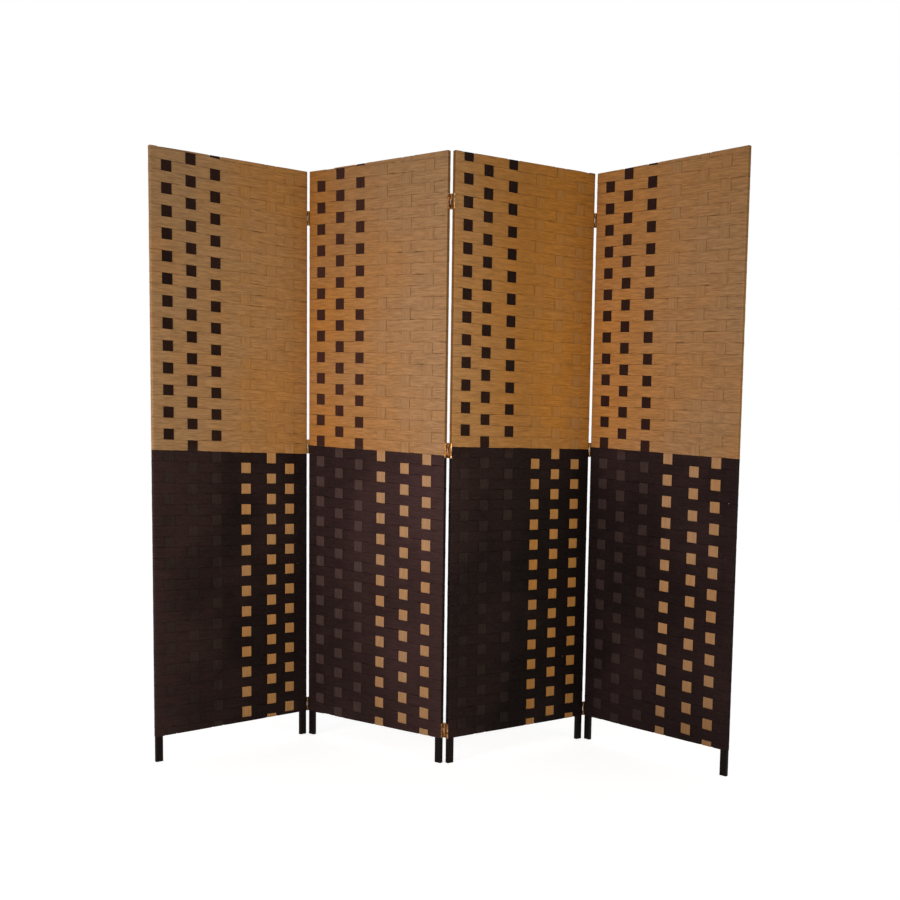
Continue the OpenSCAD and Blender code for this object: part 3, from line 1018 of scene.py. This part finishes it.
class SCREEN_OT_wound_rows(bpy.types.Operator):
    """Winds the tan and the dark tape round every panel"""

    bl_idname = "screen.wound_rows"
    bl_label = "Wound rows"

    def execute(self, context):
        sizes, colours = context.scene.screen_tapes, context.scene.screen_colours
        cord = TAPE_WIDTH / sizes.cords
        finishes = {
            "tan": tape_material("Tan wound tape", colours.tan_shaded, colours.tan_lit, cord,
                                 contrast=0.22, seam_shadow=0.5),
            "dark": tape_material("Brown wound tape", colours.brown_shaded, colours.brown_lit,
                                  cord, contrast=0.2, seam_shadow=0.6),
        }
        for p in PANELS:
            for strip, shade in wound_rows(Weave(p), sizes):
                # Each panel's rows take their painted light and painted shade from the tables at
                # the top.
                obj = strips_object(
                    f"rows_{shade}_{p}", [strip], p, PAINTED_LIGHT_ROWS[shade][p - 1],
                    PAINTED_SHADE_ACROSS[shade][p - 1])
                obj.data.materials.append(finishes[shade])
                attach(obj, f"panel_{p}")
                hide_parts(f"weft_{shade}_{p}")
        return {"FINISHED"}


class SCREEN_OT_upright_tapes(bpy.types.Operator):
    """Weaves the upright tapes through the rows of every panel"""

    bl_idname = "screen.upright_tapes"
    bl_label = "Upright tapes"

    def execute(self, context):
        sizes, colours = context.scene.screen_tapes, context.scene.screen_colours
        cord = TAPE_WIDTH / sizes.cords
        kinds = (
            ("dark", range(0, 3), tape_material(
                "Brown upright tape", colours.brown_shaded, colours.brown_lit, cord,
                contrast=0.16, seam_shadow=0.3, upper=colours.upper_brown, lower=colours.lower_brown)),
            ("tan", range(3, 6), tape_material(
                "Tan upright tape", colours.tan_shaded, colours.tan_lit, cord,
                contrast=0.12, seam_shadow=0.3, upper=colours.upper_tan, lower=colours.lower_tan)),
        )
        for p in PANELS:
            rng = np.random.default_rng(SEEDS["uprights"] + p)
            weave = Weave(p)
            for shade, tapes, finish in kinds:
                strips = [upright_tape(weave, c, sizes, rng) for c in tapes]
                # One share of painted light over each panel's upright tapes.
                fading = [PAINTED_LIGHT_UPRIGHTS[shade][p - 1]] * 3
                obj = strips_object(
                    f"uprights_{shade}_{p}", strips, p, fading, PAINTED_SHADE_ACROSS[shade][p - 1])
                obj.data.materials.append(finish)
                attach(obj, f"panel_{p}")
                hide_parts(f"warps_{shade}_{p}")
        return {"FINISHED"}


class SCREEN_OT_frame(bpy.types.Operator):
    """Stains the stiles and rails"""

    bl_idname = "screen.frame"
    bl_label = "Stained frame"

    def execute(self, context):
        wood = wood_material(context.scene.screen_colours.wood)
        pieces = ("stile_left", "stile_right", "rail_top", "rail_middle", "rail_bottom")
        finish_nodes([f"{piece}_{p}" for piece in pieces for p in PANELS], wood)
        return {"FINISHED"}


class SCREEN_OT_hinges(bpy.types.Operator):
    """Gives leaves, links and pins brass; plates in the folds are darker, as painted shade"""

    bl_idname = "screen.hinges"
    bl_label = "Brass hinges"

    def execute(self, context):
        colours = context.scene.screen_colours
        worn = brass_material("Worn brass", colours.brass, colours.tarnish, 0.35, 0.34)
        shaded_brass = brass_material("Shaded brass", colours.shaded_brass, colours.tarnish, 0.3, 0.4)
        dull = brass_material("Dull brass", colours.tarnish, colours.grime, 0.1, 0.45)
        for j in JOINTS:
            plates = [f"hinge_{n}_{j}" for n in ("leaves_left", "leaves_right", "links")]
            # The plates at the joints in the folds take the darker brass as painted shade.
            finish_nodes(plates, worn if j == 23 else shaded_brass)
            finish_nodes([f"hinge_pins_{j}"], dull)
        return {"FINISHED"}


class SCREEN_OT_screws(bpy.types.Operator):
    """Sets the cross-recessed screws that hold the leaves"""

    bl_idname = "screen.screws"
    bl_label = "Hinge screws"

    def execute(self, context):
        colours = context.scene.screen_colours
        finish = brass_material("Screw brass", colours.tarnish, colours.grime, 0.3, 0.4)
        screw = cross_screw(context.scene.screen_screws)
        rng = np.random.default_rng(SEEDS["screws"])
        for j in JOINTS:
            for side, p in (("left", j // 10), ("right", j % 10)):
                obj = screws_object(f"screws_{side}_{j}", screw, p, side == "left", rng)
                obj.data.materials.append(finish)
                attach(obj, f"panel_{p}")
                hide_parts(f"hinge_screws_{side}_{j}")
        return {"FINISHED"}


class SCREEN_OT_stage(bpy.types.Operator):
    """Sets the floor, the lights and the camera"""

    bl_idname = "screen.stage"
    bl_label = "Studio"

    def execute(self, context):
        scene, settings = context.scene, context.scene.screen_stage
        floor = pale_floor(settings)
        scene.world = studio_world(settings)
        soft_light("left softbox", settings.left_place, settings.left_power,
                   settings.left_tint, settings)
        soft_light("right softbox", settings.right_place, settings.right_power,
                   settings.right_tint, settings)
        scene.camera = stage_camera(settings)
        scene.view_settings.view_transform = "Standard"
        return {"FINISHED"}


class SCREEN_PT_sidebar(bpy.types.Panel):
    """Lists the screen's pieces, sizes and colours"""

    bl_idname = "SCREEN_PT_sidebar"
    bl_label = "Woven screen"
    bl_space_type = "VIEW_3D"
    bl_region_type = "UI"
    bl_category = "Screen"

    def draw(self, context):
        layout, scene = self.layout, context.scene
        for piece in PIECES:
            layout.operator(piece.bl_idname)
        for settings in (getattr(scene, key) for key in SETTINGS):
            box = layout.box()
            for key in settings.__annotations__:
                box.prop(settings, key)


PIECES = (
    SCREEN_OT_wound_rows,
    SCREEN_OT_upright_tapes,
    SCREEN_OT_frame,
    SCREEN_OT_hinges,
    SCREEN_OT_screws,
    SCREEN_OT_stage,
)
SETTINGS = {
    "screen_tapes": ScreenTapeSizes,
    "screen_screws": ScreenScrewSizes,
    "screen_colours": ScreenColours,
    "screen_stage": ScreenStage,
}


def register():
    for kind in (*SETTINGS.values(), *PIECES, SCREEN_PT_sidebar):
        bpy.utils.register_class(kind)
    for key, kind in SETTINGS.items():
        setattr(bpy.types.Scene, key, PointerProperty(type=kind))


def unregister():
    for key in SETTINGS:
        delattr(bpy.types.Scene, key)
    for kind in (SCREEN_PT_sidebar, *reversed(PIECES), *SETTINGS.values()):
        bpy.utils.unregister_class(kind)


def main():
    register()
    bpy.ops.screen.wound_rows()
    bpy.ops.screen.upright_tapes()
    bpy.ops.screen.frame()
    bpy.ops.screen.hinges()
    bpy.ops.screen.screws()
    bpy.ops.screen.stage()
    bpy.context.view_layer.update()


if __name__ == "__main__":
    main()
